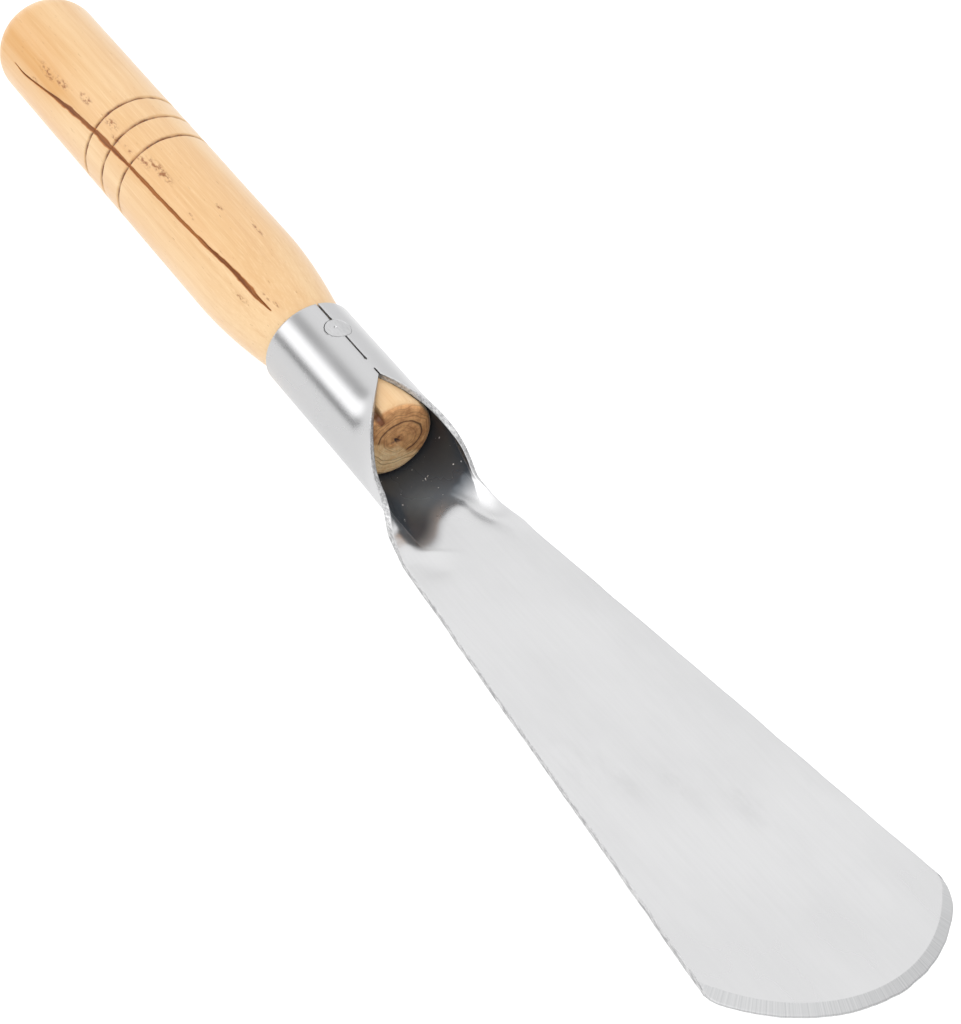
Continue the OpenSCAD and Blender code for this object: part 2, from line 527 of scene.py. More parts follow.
# Where the press marks may start, clear of the tube
PRESSED_FROM = SOCKET_LEN + 8


def pressing_marks(p):
    """Small height changes that the press left on the sheet, and the blade's slight waviness."""
    if p.x < MOUTH_END:
        return 0.0
    dent = -DENT_DEPTH * hill((p.x - DENT_AT[0]) / DENT_SIZE[0], (p.y - DENT_AT[1]) / DENT_SIZE[1])
    crease_x = CREASE_AT[0] + CREASE_TURN * (p.y - CREASE_PIVOT)
    crease = CREASE_HEIGHT * hill((p.x - crease_x) / CREASE_SIZE[0], (p.y - CREASE_AT[1]) / CREASE_SIZE[1])
    wave = noise.noise(Vector((p.x / WAVE_SIZE[0], p.y / WAVE_SIZE[1], WAVE_SEED)))
    return dent + crease + WAVE_HEIGHT * wave * smooth((p.x - NECK_END) / WAVE_GROWTH)


# ---- Mesh of the sheet

RIM_ROWS = (0.0, 0.08, 0.25)
SLIT_START_ROWS = (0, 0.04, 0.15, 0.35)
SLIT_END_ROWS = (0.8, 0.35, 0.15, 0.04, 0)
TUBE_STEPS = 52
NECK_STEPS = 84
NECK_ROW_POWER = 0.9
ROW_GAP = 0.035
MERGE = 2e-6
TINY = 1e-7


def tube_rows():
    """Places of the rows along the socket, close together at its rim and at the ends of the slits."""
    rows = list(RIM_ROWS)
    for start, end in SLITS:
        rows += [start + step for step in SLIT_START_ROWS]
        rows += [end - step for step in SLIT_END_ROWS]
    rows = [x for x in rows if 0 <= x <= SOCKET_LEN]
    rows += [SOCKET_LEN * i / TUBE_STEPS for i in range(1, TUBE_STEPS + 1)]
    kept = []
    for x in sorted(rows):
        if not kept or x - kept[-1] > ROW_GAP:
            kept.append(x)
    return kept


def sheet_loops():
    """All outlines from the socket's rim to the cutting edge."""
    neck = [mix(SOCKET_LEN, FLAT_FROM, (i / NECK_STEPS) ** NECK_ROW_POWER) for i in range(1, NECK_STEPS + 1)]
    loops = [section_loop(x) for x in tube_rows() + neck]
    loops += [blade_loop(i / BLADE_ROWS, BEVEL_DEPTHS[0]) for i in range(1, BLADE_ROWS)]
    return loops + [blade_loop(1, depth) for depth in BEVEL_DEPTHS]


def skin_rows(bm, rows):
    """Faces between neighbouring rows, except through the sheet where the seam is closed."""
    around = len(rows[0][0])
    seam = set(range(FACE_POINTS - 1, FACE_POINTS + BAND)) | set(range(2 * FACE_POINTS + BAND - 1, around))
    for (near, near_closed), (far, far_closed) in zip(rows, rows[1:]):
        for j in range(around):
            if near_closed and far_closed and j in seam:
                continue
            k = (j + 1) % around
            bm.faces.new((near[j], far[j], far[k], near[k]))


def close_row(bm, row, flip):
    """The sheet's end face over one row."""
    lower, upper = row[:FACE_POINTS], row[FACE_POINTS + BAND:2 * FACE_POINTS + BAND][::-1]
    corners = [(lower[j], lower[j + 1], upper[j + 1], upper[j]) for j in range(ACROSS)]
    corners.append([lower[-1]] + row[FACE_POINTS:FACE_POINTS + BAND] + [upper[-1]])
    corners.append([upper[0]] + row[2 * FACE_POINTS + BAND:] + [lower[0]])
    for face in corners:
        bm.faces.new(face[::-1] if flip else face)


def sheet_mesh():
    face_raw = [0.0] * FACE_POINTS
    masks = face_raw + list(BAND_RAW) + face_raw + list(BAND_RAW)
    bm = bmesh.new()
    raw = bm.verts.layers.float.new("raw_edge")
    rows = []
    for loop, closed in sheet_loops():
        row = []
        for p, mask in zip(loop, masks):
            pressed = press_skew(p.x, p.y) + pressing_marks(p) if p.x > PRESSED_FROM else 0.0
            vertex = bm.verts.new(place(p.x, p.y, p.z + pressed))
            vertex[raw] = 0.0 if closed else mask
            row.append(vertex)
        rows.append((row, closed))
    skin_rows(bm, rows)
    close_row(bm, rows[0][0], False)
    close_row(bm, rows[-1][0], True)
    bmesh.ops.remove_doubles(bm, verts=bm.verts, dist=MERGE)
    bmesh.ops.dissolve_degenerate(bm, edges=bm.edges, dist=TINY)
    return mesh_from(bm, "blade_sheet_metal")


def lathe(name, outline, axis_point, around=96):
    """A closed solid turned about axis_point's Z, from (radius, height) points with radius 0 at both ends."""
    bm = bmesh.new()
    turns = [2 * math.pi * i / around for i in range(around)]
    rings = []
    for radius, height in outline:
        if radius == 0:
            rings.append([bm.verts.new(axis_point(0, 0, height))])
            continue
        ring = [axis_point(radius * math.cos(a), radius * math.sin(a), height) for a in turns]
        rings.append([bm.verts.new(point) for point in ring])
    for low, high in zip(rings, rings[1:]):
        for i in range(around):
            k = (i + 1) % around
            quad = [low[i % len(low)], low[k % len(low)], high[k % len(high)], high[i % len(high)]]
            bm.faces.new(list(dict.fromkeys(quad)))
    return new_object(name, mesh_from(bm, name))


HOLE_OFF = 0.06
HOLE_GAP = 0.11
HOLE_RUN_OUT = 1.0
HOLE_BELOW = 2.0
HEAD_EDGE = 0.45


def bore_pin_hole(sheet):
    """Cuts the pin's countersunk hole, a little off the pin so that one side's gap is wider."""
    wide, narrow = PIN_HEAD_R + HOLE_GAP, PIN_R + HOLE_GAP
    bottom, top = BORE_R - HOLE_BELOW, SOCKET_R + HOLE_RUN_OUT
    shoulder = [(narrow, BORE_R), (wide, SOCKET_R - HEAD_EDGE)]
    outline = [(0, bottom), (narrow, bottom)] + shoulder + [(wide, top), (0, top)]
    cutter = lathe("pin_hole_cutter", outline, lambda x, y, z: place(PIN_AT + x, y - HOLE_OFF, z))
    cut = sheet.modifiers.new("pin_hole", "BOOLEAN")
    cut.operation = "DIFFERENCE"
    cut.solver = "EXACT"
    cut.object = cutter
    bake_modifiers(sheet)
    bpy.data.objects.remove(cutter)


def bake_modifiers(piece):
    """Replaces a piece's mesh by its evaluated one and drops its modifiers."""
    graph = bpy.context.evaluated_depsgraph_get()
    mesh = bpy.data.meshes.new_from_object(piece.evaluated_get(graph))
    piece.modifiers.clear()
    piece.data = mesh


# Where the painted shade on the inside of the trough ends, and its border along the rolled -Y side
TROUGH_SHADE_END = 48.4
TROUGH_SHADE_FADE = 7.5
ROLLED_FROM = 46
ROLLED_EDGE = 10.9
ROLLED_TAPER = 0.0283
ROLLED_FADE = 0.8
TROUGH_SHADE_DEPTH = 0.6
# Painted pale reflection in the trough and smudges on the blade, as place along, place across, length and
# width
TROUGH_REFLECTION_SPOT = (42.5, 2.5, 6.0, 5.0)
SMUDGES = ((116, -16, 6, 3), (121, -10, 7, 2.4), (127, -2, 7, 2.2), (134, 6, 7, 2.8), (60, 9, 3, 2.5))
NEARLY = 0.98
BEVEL_MARGIN = 0.05


def patch(x, y, spot):
    at, to, length, width = spot
    return hill((x - at) / length, (y - to) / width)


def trough_shade_mask(x, y, z):
    """1 on the inside of the socket and trough, where shade is painted dark."""
    if math.hypot(y, z) >= SOCKET_R - SHEET * TROUGH_SHADE_DEPTH:
        return 0.0
    border = 1.0
    if x > MOUTH_END:
        edge = -ROLLED_EDGE + ROLLED_TAPER * (x - ROLLED_FROM) ** 2
        border = ramp(y, edge - ROLLED_FADE, edge + ROLLED_FADE)
    return (1.0 - smooth((x + skew_shift(y) - TROUGH_SHADE_END) / TROUGH_SHADE_FADE)) * border


def mark_sheet(mesh):
    """Masks for the steel: the bevel and the place along it, the trough's painted shade and its painted pale
    reflection, and the smudges.
    """
    marks = {"ground": [], "inside": [], "bevel_turn": [], "smudge": [], "trough_reflection": []}
    for vertex in mesh.vertices:
        x, y, z = tool_point(vertex)
        depth = EDGE_R - math.hypot(x - EDGE_CENTRE, y)
        upper = z > -DROP + RISE * (x - NECK_END) - SHEET * NEARLY
        on_bevel = x > EDGE_CENTRE and depth < BEVEL - BEVEL_MARGIN and upper
        marks["ground"].append(1.0 if on_bevel else 0.0)
        # where the trough's shade is painted dark
        marks["inside"].append(trough_shade_mask(x, y, z))
        marks["bevel_turn"].append(math.atan2(y, x - EDGE_CENTRE) * EDGE_R)
        marks["smudge"].append(clamp(sum(patch(x, y, spot) for spot in SMUDGES)) if upper else 0.0)
        # where a pale reflection is painted in the trough
        marks["trough_reflection"].append(patch(x, y, TROUGH_REFLECTION_SPOT))
    for name, values in marks.items():
        store(mesh, name, values)


# ---- Wooden handle

BUTT_DOME = 8.7
SHOULDER = 26.0
SHOULDER_POWER = 1.8
GRIP_TAPER = 0.2
GRIP_LEN = -SHOULDER - BUTT - BUTT_DOME
WOOD_AT_RIM = 8.6
TENON_R = BORE_R - 0.05
TENON_FROM = 0.8
TENON_EASE = 1.4
TENON_EASE_POWER = 1.6
GROOVES = (-59.9, -67.55, -75.2)
GROOVE_HALF = 0.62
GROOVE_DEPTH = 0.5

# The drying crack: its place round the handle in degrees from the top, its half width and its depth
CRACK_TURN = ((-110, -81), (-106, -81.8), (-98, -76), (-89, -69), (-80, -64), (-71, -60.5), (-60, -58),
              (-46, -56), (-30, -52.5), (-18, -48.5), (-10, -48.7), (-5, -47.5))
CRACK_HALF = ((-110, 0.0), (-106, 0.1), (-98, 0.17), (-91, 0.3), (-87, 0.6), (-82, 0.5), (-76, 0.6),
              (-70, 0.62), (-66, 0.45), (-60, 0.3), (-50, 0.33), (-40, 0.26), (-30, 0.3), (-20, 0.36),
              (-15, 0.42), (-12, 0.6), (-8, 0.25), (-5, 0.0))
CRACK_DEPTH = 0.38
CRACK_SOFT = 0.14
# Raggedness of its sides, as amount, seed and period
CRACK_RAGGED = ((0.45, 31, 2.6), (0.3, 33, 0.7))

# Clusters of small dark pores, as place along, turn in degrees, length and width in degrees
PORES = ((-98, -57, 5, 7), (-92.5, -54, 4, 5), (-83, -46, 3.5, 5), (-72, -43, 3.5, 6), (-68, -50, 2, 3),
         (-52, -37, 7, 6), (-57, -44, 4, 4), (-34, -16, 1.6, 2.5), (-36.5, -44, 1.6, 2.5), (-8, -41, 1.6, 2),
         (-5.5, -38, 1.6, 2), (-12, -62, 2.5, 3), (-24, 0, 3, 2), (-101, -75, 2, 2), (-82, -82, 1, 1.5),
         (-63, -47, 2, 3))
PORE_EDGE = 1.6


def wood_radius(x):
    if x < BUTT + BUTT_DOME:
        u = clamp((x - BUTT) / BUTT_DOME)
        return GRIP_R * math.sqrt(1 - (1 - u) ** 2)
    if x < -SHOULDER:
        return GRIP_R - GRIP_TAPER * (x - BUTT - BUTT_DOME) / GRIP_LEN
    if x < 0:
        return mix(GRIP_R - GRIP_TAPER, WOOD_AT_RIM, ((x + SHOULDER) / SHOULDER) ** SHOULDER_POWER)
    if x < TENON_END - TENON_EASE:
        return mix(WOOD_AT_RIM, TENON_R, smooth(x / TENON_FROM))
    u = clamp((x - TENON_END + TENON_EASE) / TENON_EASE)
    return TENON_R - TENON_EASE * (1 - math.sqrt(max(1 - u ** TENON_EASE_POWER, 0)))


DOME_STEPS = 26
GRIP_STEPS = 150
GROOVE_STEPS = 11
GROOVE_STEP = 0.09
GROOVE_CLEAR = 1.05
TENON_START_ROWS = (0.2, 0.5, 0.8)
TENON_STEPS = 40
EASE_STEPS = 10


def wood_rows():
    """Places of the rings along the handle, close together in the grooves and at both ends."""
    turns = [QUARTER * i / DOME_STEPS for i in range(1, DOME_STEPS + 1)]
    dome = [BUTT + BUTT_DOME * (1 - math.cos(a)) for a in turns]
    grip = [mix(BUTT + BUTT_DOME, 0, i / GRIP_STEPS) for i in range(1, GRIP_STEPS + 1)]
    grip = [x for x in grip if all(abs(x - g) > GROOVE_CLEAR for g in GROOVES)]
    near = [g + GROOVE_STEP * i for g in GROOVES for i in range(-GROOVE_STEPS, GROOVE_STEPS + 1)]
    straight_end = TENON_END - TENON_EASE
    tenon = [mix(TENON_FROM, straight_end, i / TENON_STEPS) for i in range(1, TENON_STEPS + 1)]
    turns = [QUARTER * i / EASE_STEPS for i in range(1, EASE_STEPS + 1)]
    end = [TENON_END - TENON_EASE * (1 - math.sin(a)) for a in turns]
    return sorted(dome + grip + near + list(TENON_START_ROWS) + tenon + end)


WOOD_AROUND = 300
BEHIND_CRACK = 0.24


def wood_turns():
    """Angles round the handle in degrees from the crack, close together beside it."""
    turns = []
    for i in range(WOOD_AROUND):
        u = 2 * i / WOOD_AROUND - 1
        turns.append(180 * (BEHIND_CRACK * u + (1 - BEHIND_CRACK) * u ** 3))
    return turns


def crack_mask(x, off):
    """1 in the crack's middle, falling to 0 at its ragged sides; off is the distance across it."""
    half = along(CRACK_HALF, x)
    if half <= 0:
        return 0.0
    side = 1 if off > 0 else 0
    stray = sum(amount * wobble(x, seed + side, period) for amount, seed, period in CRACK_RAGGED)
    return clamp(1 - (abs(off) / (half * (1 + stray) + CRACK_SOFT)) ** 2)


# The dark notch broken out of the tenon's end
CHIP_TURN = -36
CHIP_WIDTH = 6.5
CHIP_EDGE = 1.4
CHIP_DEPTH = 1.3
CHIP_BEFORE_END = 3.4
CHIP_FADE = 1.6
CHIP_FROM_R = 5.2
CHIP_FADE_R = 1.2


def chip_side(turn):
    return smooth(CHIP_EDGE - abs(turn - CHIP_TURN) / CHIP_WIDTH)


def chip_mask(x, turn):
    return smooth((x - TENON_END + CHIP_BEFORE_END) / CHIP_FADE) * chip_side(turn)


def pore_mask(x, turn):
    best = 0.0
    for at, to, length, width in PORES:
        best = max(best, 1 - math.hypot((x - at) / length, (turn - to) / width))
    return smooth(best * PORE_EDGE)


# The browner butt, as amount, turn and width in degrees, and the browner strip beside the crack
TAN_FROM = -78
TAN_GROWTH = 22
TAN_PATCHES = ((0.45, -40, 55), (0.75, -66, 20))
TAN_STRIP = 0.45
TAN_STRIP_OFF = 8
TAN_STRIP_WIDTH = 9
TAN_STRIP_FADE = 20
TAN_STRIP_BASE = 0.6
TAN_STRIP_WOBBLE = (0.5, 51, 9.0)


def tan_mask(x, turn):
    """The browner patch at the butt and the browner strip beside the crack."""
    patches = sum(amount * hill((turn - to) / width) for amount, to, width in TAN_PATCHES)
    off = (turn - along(CRACK_TURN, x) - TAN_STRIP_OFF) / TAN_STRIP_WIDTH
    strip = TAN_STRIP * hill(off) * smooth(-x / TAN_STRIP_FADE)
    amount, seed, period = TAN_STRIP_WOBBLE
    strip *= TAN_STRIP_BASE + amount * wobble(x, seed, period)
    return clamp(smooth((TAN_FROM - x) / TAN_GROWTH) * patches + strip)


# Each groove wanders a little and varies in width and in how dark it is burnt, as amount, scale and seed
GROOVE_SHIFT = (0.06, 3, 41)
GROOVE_SPREAD = (0.25, 9, 44)
GROOVE_BURN = (0.35, 7, 47)
BURN_BASE = 0.8
BURN_REACH = 1.05
# Painted gap shadow on the wood at the socket's rim, where the wood meets the steel
RIM_GAP_SHADOW = 0.9
RIM_GAP_SHADOW_SPAN = (-0.7, -0.2, 1.0, 1.5)


def groove_marks(x, full):
    """Depth share and burn of the grooves at x and an angle round the handle, with the painted gap shadow at
    the socket's rim.
    """
    groove, burn_and_rim_shadow = 0.0, 0.0
    for i, at in enumerate(GROOVES):
        shift, extra, dark = [amount * wobble(full * scale, seed + i, 1.0)
                              for amount, scale, seed in (GROOVE_SHIFT, GROOVE_SPREAD, GROOVE_BURN)]
        reach = GROOVE_HALF * (1 + extra)
        off = abs(x - at - shift)
        groove = max(groove, clamp(1 - off / reach))
        burn_and_rim_shadow = max(burn_and_rim_shadow, clamp(1 - off / (reach * BURN_REACH)) * (BURN_BASE + dark))
    # painted gap shadow at the socket's rim
    burn_and_rim_shadow = max(burn_and_rim_shadow, RIM_GAP_SHADOW * rise_and_fall(x, RIM_GAP_SHADOW_SPAN))
    return groove, clamp(burn_and_rim_shadow)


# Growth rings and the darker heartwood in the tenon's end
HEART = (1.2, 0.2)
RING_STRETCH = 1.2
RING_WARP = 0.45
RING_WARP_SIZE = 2.2
RING_WARP_SEED = 9
HEART_LINE = (1.2, 0.44, 3.1)
HEART_FADE = 1.6
WOOD_MARKS = ("crack", "burn_and_rim_shadow", "end_grain", "pores", "chip", "tan", "heart", "ring")


def mark_end_grain(vertex, layers):
    """Where the vertex lies among the growth rings, and whether it is in the darker heartwood."""
    _, y, z = tool_point(vertex)
    warp = RING_WARP * noise.noise(Vector((y / RING_WARP_SIZE, z / RING_WARP_SIZE, RING_WARP_SEED)))
    vertex[layers["ring"]] = math.hypot((y - HEART[0]) / RING_STRETCH, z - HEART[1]) + warp
    height, slope, across = HEART_LINE
    vertex[layers["heart"]] = smooth((z + height + slope * (y + across)) / HEART_FADE + 2 * warp)


# Softness of the turned surface, and where the tenon's rounding turns into end grain
SOFT = 0.035
SOFT_LENGTH = 14
SOFT_TURN = 2.2
END_GRAIN_FROM = 0.75
END_GRAIN_FADE = 0.5


def wood_vertex(bm, layers, x, full, off):
    """A marked vertex at x and an angle round the handle; off is its distance across from the crack."""
    degrees = (math.degrees(full) + 180) % 360 - 180
    outside = x < 0
    crack = crack_mask(x, off) if outside else 0.0
    groove, burn_and_rim_shadow = groove_marks(x, full)
    chip = chip_mask(x, degrees)
    soft_at = Vector((x / SOFT_LENGTH, SOFT_TURN * math.sin(full), SOFT_TURN * math.cos(full)))
    soft = SOFT * noise.noise(soft_at) - SOFT if outside else 0.0
    hollow = max(CRACK_DEPTH * crack, GROOVE_DEPTH * groove) + CHIP_DEPTH * chip
    r = max(wood_radius(x) + soft - hollow, 0.0)
    vertex = bm.verts.new(place(x, r * math.sin(full), r * math.cos(full)))
    marks = {"crack": crack, "burn_and_rim_shadow": burn_and_rim_shadow, "chip": chip, "tan": tan_mask(x, degrees)}
    marks["end_grain"] = smooth((x - TENON_END + END_GRAIN_FROM) / END_GRAIN_FADE)
    marks["pores"] = pore_mask(x, degrees) if outside else 0.0
    for name, value in marks.items():
        vertex[layers[name]] = value
    mark_end_grain(vertex, layers)
    return vertex


def skin_rings(bm, outer, inner):
    """Faces between two rings, of which the inner one may be a single point."""
    count = len(outer)
    for i in range(count):
        k = (i + 1) % count
        corners = [outer[i], outer[k], inner[k % len(inner)], inner[i % len(inner)]]
        bm.faces.new(list(dict.fromkeys(corners)))


def handle_mesh():
    bm = bmesh.new()
    layers = {name: bm.verts.layers.float.new(name) for name in WOOD_MARKS}
    turns = wood_turns()
    rings = []
    for x in wood_rows():
        crack_turn = along(CRACK_TURN, x)
        radius = wood_radius(x)
        rings.append([wood_vertex(bm, layers, x, math.radians(crack_turn + turn), math.radians(turn) * radius)
                      for turn in turns])
    for near, far in zip(rings, rings[1:]):
        skin_rings(bm, near, far)
    skin_rings(bm, rings[0], [bm.verts.new(place(BUTT, 0, 0))])
    close_end_grain(bm, layers, rings[-1])
    bmesh.ops.remove_doubles(bm, verts=bm.verts, dist=TINY)
    return mesh_from(bm, "handle_wood")


# The star-shaped drying hole at the pith, and the low relief where the saw tore the rings
PITH = (0.6, -0.2)
STAR_BASE = 0.55
STAR_ARMS = ((0.45, 5, 0.8), (0.3, 3, 2.0))
STAR_SQUASH = 0.85
STAR_CORE = 0.5
STAR_REACH = 0.75
STAR_DEPTH = 0.7
STAR_EDGE = 1.3
RELIEF = 0.03
RELIEF_STRETCH = 1.25
RELIEF_TURNS = 7
RELIEF_WARP = 0.7
TEAR = 0.05
TEAR_SCALE = 2.5
END_STEPS = 34
END_POWER = 0.9
END_FADE = 10
STAR_DARK = 1.6


def pith_depth(y, z):
    """The star's mask and the depth of the end grain at a point of the tenon's end."""
    dy, dz = y - PITH[0], z - PITH[1]
    turn = math.atan2(dz, dy)
    arms = STAR_BASE + sum(amount * math.cos(count * turn + phase) for amount, count, phase in STAR_ARMS)
    star = clamp(1 - math.hypot(dy * STAR_SQUASH, dz) / (STAR_CORE + STAR_REACH * max(arms, 0)))
    warp = 2 * noise.noise(Vector((dy, dz, 3)) * RELIEF_WARP)
    rings = RELIEF * math.sin(math.hypot(dy / RELIEF_STRETCH, dz) * RELIEF_TURNS + warp)
    tear = TEAR * noise.noise(Vector((dy * TEAR_SCALE, dz * TEAR_SCALE, 8)))
    return star, STAR_DEPTH * smooth(star * STAR_EDGE) + rings + tear + TEAR


def end_vertex(bm, layers, y, z, fade):
    """A marked vertex of the tenon's end face."""
    star, depth = pith_depth(y, z)
    vertex = bm.verts.new(place(TENON_END - depth * fade, y, z))
    vertex[layers["end_grain"]] = 1.0
    vertex[layers["crack"]] = smooth(star * STAR_DARK)
    mark_end_grain(vertex, layers)
    degrees = math.degrees(math.atan2(y, z))
    vertex[layers["chip"]] = chip_side(degrees) * smooth((math.hypot(y, z) - CHIP_FROM_R) / CHIP_FADE_R)
    return vertex


def close_end_grain(bm, layers, rim):
    """Rings of the end face, from the tenon's rim to its middle."""
    outer = rim
    for step in range(1, END_STEPS):
        share = 1 - (step / END_STEPS) ** END_POWER
        ring = []
        for vertex in rim:
            _, y, z = tool_point(vertex)
            ring.append(end_vertex(bm, layers, y * share, z * share, smooth((1 - share) * END_FADE)))
        skin_rings(bm, outer, ring)
        outer = ring
    skin_rings(bm, outer, [end_vertex(bm, layers, 0, 0, 1.0)])


# ---- Pin

PUNCH = (-0.45, -0.35)
PUNCH_R = 0.34
PUNCH_DEPTH = 0.3
PUNCH_EDGE = 1.25
POINT_SHARE = 0.6
POINT_STEPS = (0.3, 1.6)
HEAD_TAPER = 0.02
HEAD_NECK = 0.5
HEAD_BELOW = 0.4
HEAD_ROUND = 0.05
HEAD_FACE_GAP = 0.03
FACE_INSET = 0.06
FACE_STEPS = 40
PIN_SUNK = 0.02
CROWN_FROM = 0.1
PUNCH_FROM = 0.2


def pin_outline():
    blunt, full = POINT_STEPS
    point = [(0, PIN_FOOT), (PIN_R * POINT_SHARE, PIN_FOOT + blunt), (PIN_R, PIN_FOOT + full)]
    neck = [(PIN_R, BORE_R), (PIN_HEAD_R - HEAD_TAPER, SOCKET_R - HEAD_NECK)]
    head = [(PIN_HEAD_R, SOCKET_R - HEAD_BELOW), (PIN_HEAD_R, SOCKET_R - HEAD_ROUND)]
    crown = [(PIN_HEAD_R - HEAD_FACE_GAP, SOCKET_R)]
    face = [((PIN_HEAD_R - FACE_INSET) * (1 - i / FACE_STEPS), SOCKET_R) for i in range(FACE_STEPS + 1)]
    return point + neck + head + crown + face


def flush_point(x, y, height):
    """The head's face follows the round socket, with a punch mark near its middle."""
    if height > BORE_R + CROWN_FROM:
        height -= SOCKET_R - math.sqrt(SOCKET_R ** 2 - y * y)
        away = math.hypot(x - PUNCH[0], y - PUNCH[1])
        if height > BORE_R + PUNCH_FROM:
            height -= PUNCH_DEPTH * smooth(PUNCH_EDGE - away / PUNCH_R)
        height -= PIN_SUNK
    return place(PIN_AT + x, y, height)


# ---- Material helpers

def material(name):
    m = bpy.data.materials.new(name)
    m.use_nodes = True
    m.node_tree.nodes.clear()
    return m


def plug(tree, socket, value):
    """Sets an input to a value, or links it to another node's output."""
    if isinstance(value, bpy.types.NodeSocket):
        tree.links.new(value, socket)
    else:
        socket.default_value = value


def add(tree, kind, inputs=None, **settings):
    """A node with its settings and inputs; an input may be a value or another node's output."""
    node = tree.nodes.new("ShaderNode" + kind)
    for key, value in settings.items():
        setattr(node, key, value)
    for key, value in (inputs or {}).items():
        plug(tree, node.inputs[key], value)
    return node


def masked(tree, name):
    return add(tree, "Attribute", attribute_name=name).outputs["Fac"]


def math_node(tree, operation, a, b=0.0):
    return add(tree, "Math", {0: a, 1: b}, operation=operation).outputs[0]


def times(tree, a, b):
    return math_node(tree, "MULTIPLY", a, b)


def spread(tree, value, low, high, to_low=0.0, to_high=1.0):
    inputs = {"Value": value, "From Min": low, "From Max": high, "To Min": to_low, "To Max": to_high}
    return add(tree, "MapRange", inputs, interpolation_type="SMOOTHSTEP").outputs["Result"]


# Sockets of Blender's mix node when it mixes colours
MIX_SHARE, MIX_A, MIX_B, MIX_RESULT = 0, 6, 7, 2


def blend(tree, share, a, b):
    """A mix of two colours, each a value or another node's output."""
    node = add(tree, "Mix", data_type="RGBA")
    for index, value in ((MIX_SHARE, share), (MIX_A, a), (MIX_B, b)):
        plug(tree, node.inputs[index], value)
    return node.outputs[MIX_RESULT]


def stretched(tree, scale, detail=3.0, rough=0.55, turned=(0, 0, 0)):
    """Noise in the tool's own space with a different scale along each axis, in cycles per metre."""
    where = add(tree, "TexCoord").outputs["Object"]
    mapped = add(tree, "Mapping", {"Vector": where, "Scale": scale, "Rotation": turned})
    inputs = {"Vector": mapped.outputs[0], "Scale": 1.0, "Detail": detail, "Roughness": rough}
    return add(tree, "TexNoise", inputs).outputs["Fac"]


def line_noise(tree, value, scale, detail, rough=0.5):
    """Noise that varies only with one value, such as the place along a bevel."""
    inputs = {"W": value, "Scale": scale, "Detail": detail, "Roughness": rough}
    return add(tree, "TexNoise", inputs, noise_dimensions="1D").outputs["Fac"]


def bumped(tree, height, strength, distance, under=None):
    inputs = {"Height": height, "Strength": strength, "Distance": distance}
    if under is not None:
        inputs["Normal"] = under
    return add(tree, "Bump", inputs).outputs["Normal"]


def finish_surface(tree, shader):
    out = add(tree, "OutputMaterial")
    tree.links.new(shader.outputs[0], out.inputs["Surface"])


# ---- Steel

STEEL_DULL = (0.575, 0.575, 0.58, 1)
STEEL_BRIGHT = (0.62, 0.62, 0.625, 1)
STEEL_STREAK = (0.50, 0.50, 0.505, 1)
STEEL_ROLLED = (0.49, 0.49, 0.495, 1)
STEEL_STAIN = (0.38, 0.38, 0.385, 1)
# Painted shade in the trough, and the painted pale reflection in it
TROUGH_SHADE = (0.028, 0.034, 0.043, 1)
TROUGH_REFLECTION = (0.135, 0.165, 0.195, 1)
DUST = (0.85, 0.85, 0.85, 1)
GROUND_DARK = (0.47, 0.475, 0.48, 1)
GROUND_LIGHT = (0.58, 0.58, 0.585, 1)
TORN_DARK = (0.30, 0.30, 0.305, 1)
TORN_LIGHT = (0.62, 0.62, 0.62, 1)
PIN_DARK = (0.47, 0.47, 0.475, 1)
PIN_LIGHT = (0.55, 0.55, 0.555, 1)
ROLLED_FINISH = (30, 48)
ROLLED_AMOUNT = 0.75
SCRATCH_TURN = math.radians(9)
PIN_SCRATCH_TURN = math.radians(25)


def rolled(tree):
    """Share of the duller finish that the rolled socket has."""
    where = add(tree, "TexCoord").outputs["Object"]
    x = add(tree, "SeparateXYZ", {0: where}).outputs["X"]
    start, end = [RIM + place_along * MM for place_along in ROLLED_FINISH]
    return spread(tree, x, start, end, ROLLED_AMOUNT, 0.0)


def sheet_colour(t, smudges, streaks, inside):
    """The plain sheet, duller on the socket, with painted shade, a painted pale reflection and dust in the
    trough, and stained on the blade.
    """
    colour = blend(t, spread(t, smudges, 0.35, 0.7), STEEL_DULL, STEEL_BRIGHT)
    colour = blend(t, spread(t, streaks, 0.3, 0.75, 0.0, 0.12), colour, STEEL_STREAK)
    colour = blend(t, rolled(t), colour, STEEL_ROLLED)
    # Painted shade in the trough, lighter where a pale reflection is painted
    trough = blend(t, masked(t, "trough_reflection"), TROUGH_SHADE, TROUGH_REFLECTION)
    colour = blend(t, times(t, inside, 0.97), colour, trough)
    dust = spread(t, stretched(t, (1300, 1300, 1300), 1), 0.75, 0.78)
    colour = blend(t, times(t, dust, inside), colour, DUST)
    blotches = spread(t, stretched(t, (60, 120, 120), 5, 0.65), 0.38, 0.62)
    stained = times(t, masked(t, "smudge"), blotches)
    return blend(t, times(t, stained, 0.24), colour, STEEL_STAIN)


